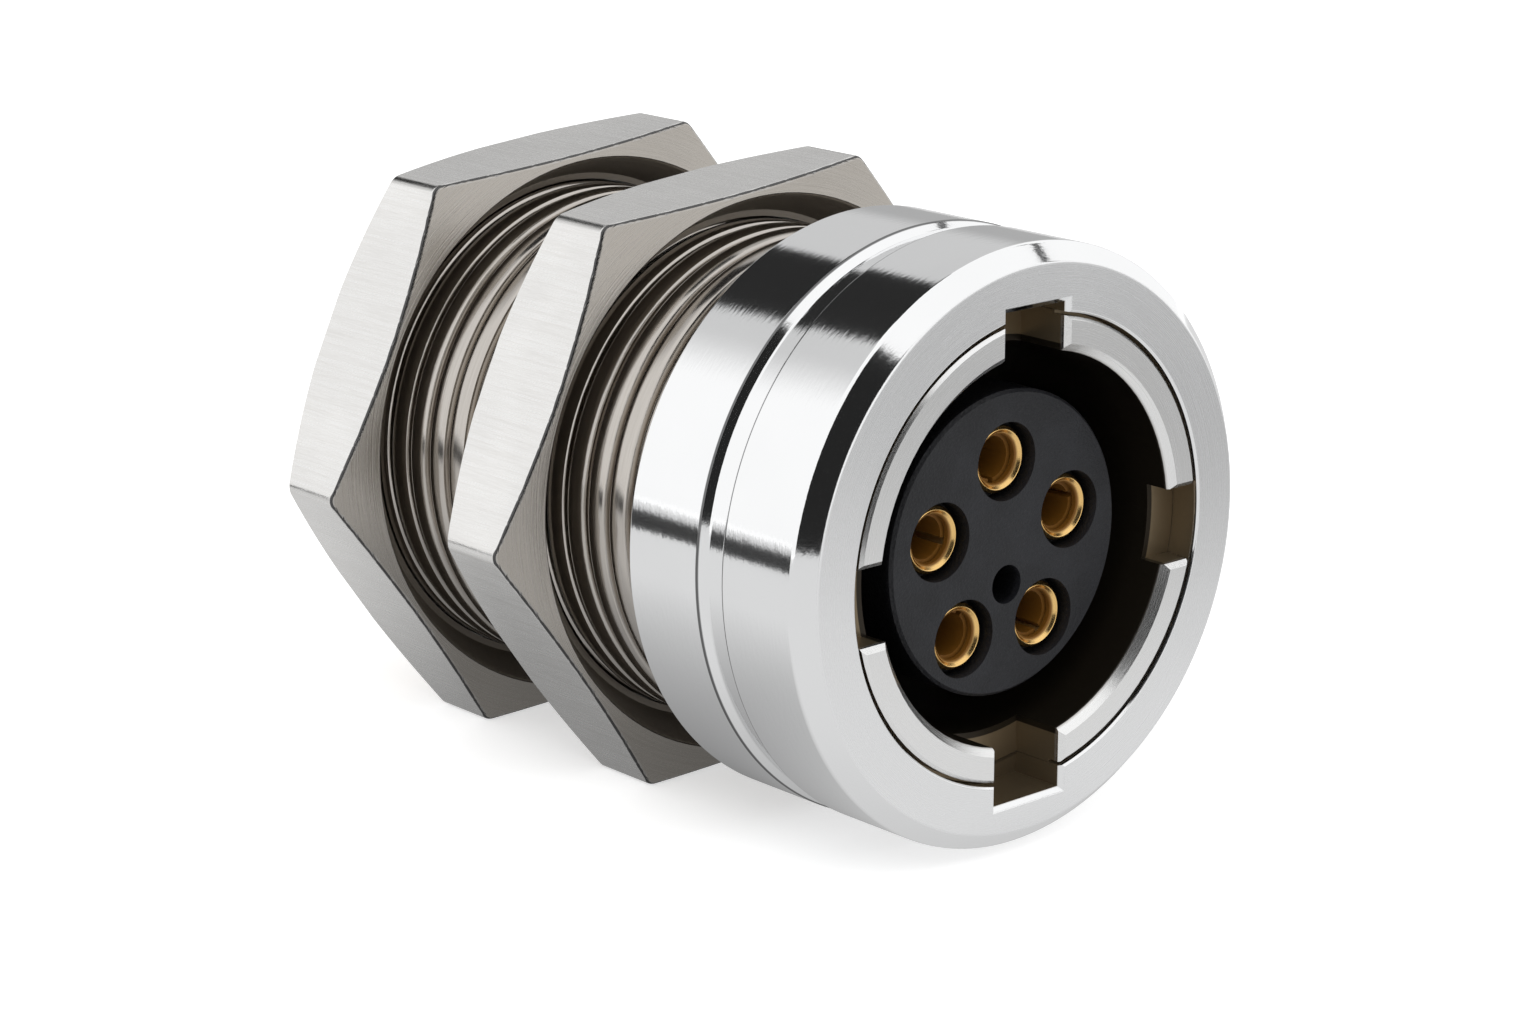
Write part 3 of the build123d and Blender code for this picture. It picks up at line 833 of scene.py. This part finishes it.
class SOCKET_OT_contacts(bpy.types.Operator):
    """Turns the contacts' gold hoods and plates the contacts"""

    bl_idname = "socket.contacts"
    bl_label = "Contacts"

    def execute(self, context):
        gold = contact_gold(context.scene.socket_insert)
        finish_nodes([f"contact_{number}" for number in CONTACTS], gold)
        pattern = swept("gold_hood", eased(HOOD_SECTION), HOOD_STEPS)
        dress(pattern, gold)
        bpy.ops.object.shade_smooth_by_angle(angle=SMOOTH_ANGLE)
        for number in CONTACTS:
            pick(pattern)
            bpy.ops.object.duplicate()
            hood = named(f"gold_hood_{number}")
            over, up = contact_centre(number)
            hood.location = (over, 0, up)
            bpy.ops.object.transform_apply(location=True, rotation=False, scale=False)
            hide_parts(f"contact_hood_{number}")
            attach(hood, "socket")
        discard(pattern)
        return {"FINISHED"}


# The studio


def view_axes(settings):
    """Unit vectors from the face towards the camera, to the right and up in the picture."""
    flat = math.cos(settings.elevation)
    towards = Vector((math.sin(settings.azimuth) * flat, -math.cos(settings.azimuth) * flat,
                      math.sin(settings.elevation)))
    right = Vector((0, 0, 1)).cross(towards).normalized()
    return towards, right, towards.cross(right)


def add_camera(settings):
    """The camera, at the photograph's angle of view."""
    towards, right, up = view_axes(settings)
    face = Vector((0, FACE_Y, 0))
    place = face + towards * settings.distance - right * settings.aside + up * settings.above
    deselect()
    bpy.ops.object.camera_add(location=place, rotation=towards.to_track_quat("Z", "Y").to_euler())
    camera = named("camera")
    camera.data.lens = settings.lens
    camera.data.sensor_width = 36.0
    camera.data.clip_start = 0.001
    camera.data.clip_end = 50.0
    bpy.context.scene.camera = camera


def card_material(name, level, size, soft):
    """A card's own even glow, which fades out over soft edges. The size and the edges are given across
    and along the card."""
    made, w, shader = material(name, metallic=0.0, roughness=1.0, Specular_IOR_Level=0.0)
    shader.inputs["Base Color"].default_value = (0.0, 0.0, 0.0, 1.0)
    shader.inputs["Emission Color"].default_value = (1.0, 1.0, 1.0, 1.0)
    shader.inputs["Emission Strength"].default_value = level
    place = w.node("ShaderNodeSeparateXYZ")
    w.link(w.node("ShaderNodeTexCoord").outputs["UV"], place.inputs[0])
    masks = []
    for side in (0, 1):
        edge = w.math("SUBTRACT", 0.5, w.math("ABSOLUTE", w.math("SUBTRACT", place.outputs[side], 0.5)))
        masks.append(w.span(edge, 0.0, min(soft[side] / size[side], 0.5)))
    w.link(w.math("MULTIPLY", masks[0], masks[1]), shader.inputs["Alpha"])
    return made


def only_reflected(piece):
    """Hides a card of the studio from all but reflections."""
    for way in ("camera", "diffuse", "transmission", "volume_scatter", "shadow"):
        setattr(piece, f"visible_{way}", False)


def card(name, start, end, distance, width, level, soft):
    """A studio card that only reflections see: a strip between two directions from the socket, at a
    distance, with a width, a brightness and soft edges."""
    first = Vector(start).normalized() * distance
    last = Vector(end).normalized() * distance
    along = last - first
    towards = (first + last).normalized()
    across = along.cross(towards).normalized()
    deselect()
    bpy.ops.mesh.primitive_plane_add(size=1.0)
    piece = named(name)
    piece.scale = (width, along.length, 1.0)
    piece.rotation_euler = Matrix((across, along.normalized(), towards)).transposed().to_euler()
    piece.location = (first + last) / 2
    bpy.ops.object.transform_apply(location=True, rotation=True, scale=True)
    dress(piece, card_material(name, level, (width, along.length), (soft, soft)))
    only_reflected(piece)


def floor_card(name, place, size, level, soft):
    """A soft-edged sheet that only reflections see, just under the nuts: shade, or the floor's grey."""
    deselect()
    bpy.ops.mesh.primitive_plane_add(size=1.0)
    piece = named(name)
    piece.scale = (size[0], size[1], 1.0)
    piece.location = (place[0], place[1], CAD_BOX[0][2] - place[2])
    bpy.ops.object.transform_apply(location=True, rotation=True, scale=True)
    dress(piece, card_material(name, level, size, soft))
    only_reflected(piece)


def seen(w):
    """A mask of the rays that the camera sees by, straight, in reflections or through clear pieces."""
    paths = w.node("ShaderNodeLightPath")
    direct = w.math("MAXIMUM", paths.outputs["Is Camera Ray"], paths.outputs["Is Glossy Ray"])
    return w.math("MAXIMUM", direct, paths.outputs["Is Transmission Ray"])


def add_floor(settings):
    """A plain pale floor just under the nuts."""
    size = settings.floor_size
    deselect()
    bpy.ops.mesh.primitive_grid_add(x_subdivisions=8, y_subdivisions=8, size=size,
                                    location=(0, 0, CAD_BOX[0][2] - 0.01 * MM))
    floor = named("floor")
    bpy.ops.object.transform_apply(location=True, rotation=True, scale=True)
    made, w, shader = material("floor_paper", metallic=0.0, roughness=0.9, Specular_IOR_Level=0.0)
    grey = settings.floor_grey
    shader.inputs["Base Color"].default_value = (grey, grey, grey, 1.0)
    shader.inputs["Emission Color"].default_value = (1.0, 1.0, 1.0, 1.0)
    w.link(w.math("MULTIPLY", seen(w), settings.floor_glow), shader.inputs["Emission Strength"])
    dress(floor, made)


def add_room(settings):
    """Even light from all round, with a white background for the camera and for reflections."""
    world = bpy.context.scene.world or bpy.data.worlds.new("room")
    bpy.context.scene.world = world
    world.use_nodes = True
    tree = world.node_tree
    tree.nodes.clear()
    w = Wiring(tree)
    background = w.node("ShaderNodeBackground")
    background.inputs["Color"].default_value = (1.0, 1.0, 1.0, 1.0)
    w.link(w.span(seen(w), 0.0, 1.0, settings.room, 1.0), background.inputs["Strength"])
    w.link(background.outputs[0], w.node("ShaderNodeOutputWorld").inputs["Surface"])


def add_lamp(name, direction, distance, size, power):
    """A soft square lamp that faces the socket."""
    towards = Vector(direction).normalized()
    deselect()
    bpy.ops.object.light_add(type="AREA", location=towards * distance,
                             rotation=towards.to_track_quat("Z", "Y").to_euler())
    lamp = named(name)
    lamp.data.shape = "SQUARE"
    lamp.data.size = size
    lamp.data.energy = power
    lamp.visible_glossy = False


class SOCKET_OT_studio(bpy.types.Operator):
    """Sets the floor, the studio's cards and lamps, and the camera"""

    bl_idname = "socket.studio"
    bl_label = "Studio"

    def execute(self, context):
        settings = context.scene.socket_studio
        add_camera(settings)
        add_floor(settings)
        add_room(settings)
        add_lamp("key_lamp", (-0.5, -0.45, 0.85), 0.7, 0.5, 2.2)
        add_lamp("fill_lamp", (0.7, -0.6, 0.5), 0.9, 0.7, 1.6)
        # the floor as the metal shows it: pale grey, greyer in front to the right, dark by the socket
        floor_card("floor_grey", (0, 0, 0.008 * MM), (1.2, 1.2), 0.72, (0.3, 0.3))
        floor_card("floor_front", (62 * MM, -75 * MM, 0.006 * MM), (110 * MM, 130 * MM), 0.40,
                   (40 * MM, 40 * MM))
        shade = (settings.shade_width, settings.shade_length)
        floor_card("floor_shade", (3 * MM, 10 * MM, 0.004 * MM), shade, 0.19,
                   (0.5 * shade[0], 0.4 * shade[1]))
        # the dark of the room on the camera's side, which the front bevel reflects
        card("dark_camera_side", (-0.72, -0.69, -0.10), (-0.16, -0.60, 0.79), 0.5, 0.30, 0.018, 0.03)
        # above and behind: the dark band along the top of the head
        card("dark_upper_rear", (0.33, 0.71, 0.62), (-0.13, 0.71, 0.69), 0.5, 0.40, 0.022, 0.02)
        card("grey_upper_rear", (0.10, 0.71, 0.70), (-0.45, 0.72, 0.53), 0.55, 0.40, 0.62, 0.14)
        # the walls to the right and the left, and the dark foot of the left wall
        card("grey_right_wall", (0.62, 0.71, -0.25), (0.66, 0.70, 0.36), 0.5, 0.40, 0.42, 0.08)
        card("grey_right_upper", (0.67, 0.71, 0.08), (0.20, 0.71, 0.68), 0.55, 0.40, 0.60, 0.03)
        card("grey_front_right", (0.86, -0.50, 0.10), (0.42, -0.90, 0.10), 0.4, 0.16, 0.42, 0.05)
        card("dark_streak_right", (0.77, -0.40, 0.54), (0.66, 0.0, 0.79), 0.5, 0.032, 0.02, 0.010)
        card("dark_wall_foot", (-0.90, 0.42, -0.078), (-0.45, 0.89, -0.078), 0.10, 0.0118, 0.04, 0.003)
        context.scene.view_settings.view_transform = "Standard"
        return {"FINISHED"}


class SOCKET_PT_panel(bpy.types.Panel):
    """Lists the steps that dress the socket"""

    bl_idname = "SOCKET_PT_panel"
    bl_label = "Panel socket"
    bl_space_type = "VIEW_3D"
    bl_region_type = "UI"
    bl_category = "Socket"

    def draw(self, context):
        for step in STEPS:
            self.layout.operator(step.bl_idname)
        for group in SETTINGS:
            settings = getattr(context.scene, group)
            box = self.layout.box()
            for name in settings.__annotations__:
                box.prop(settings, name)


STEPS = [SOCKET_OT_threaded_shell, SOCKET_OT_earthing_crown, SOCKET_OT_nuts, SOCKET_OT_insert,
         SOCKET_OT_contacts, SOCKET_OT_studio]
SETTINGS = {"socket_thread": ThreadSizes, "socket_slots": KeySlots, "socket_plating": PlatingColours,
            "socket_insert": InsertColours, "socket_studio": StudioSettings}


def register():
    for made in (*SETTINGS.values(), *STEPS, SOCKET_PT_panel):
        bpy.utils.register_class(made)
    for name, made in SETTINGS.items():
        setattr(bpy.types.Scene, name, bpy.props.PointerProperty(type=made))


def unregister():
    for name in SETTINGS:
        delattr(bpy.types.Scene, name)
    for made in reversed((*SETTINGS.values(), *STEPS, SOCKET_PT_panel)):
        bpy.utils.unregister_class(made)


def main():
    register()
    for step in STEPS:
        family, action = step.bl_idname.split(".")
        getattr(getattr(bpy.ops, family), action)()
    deselect()


if __name__ == "__main__":
    main()
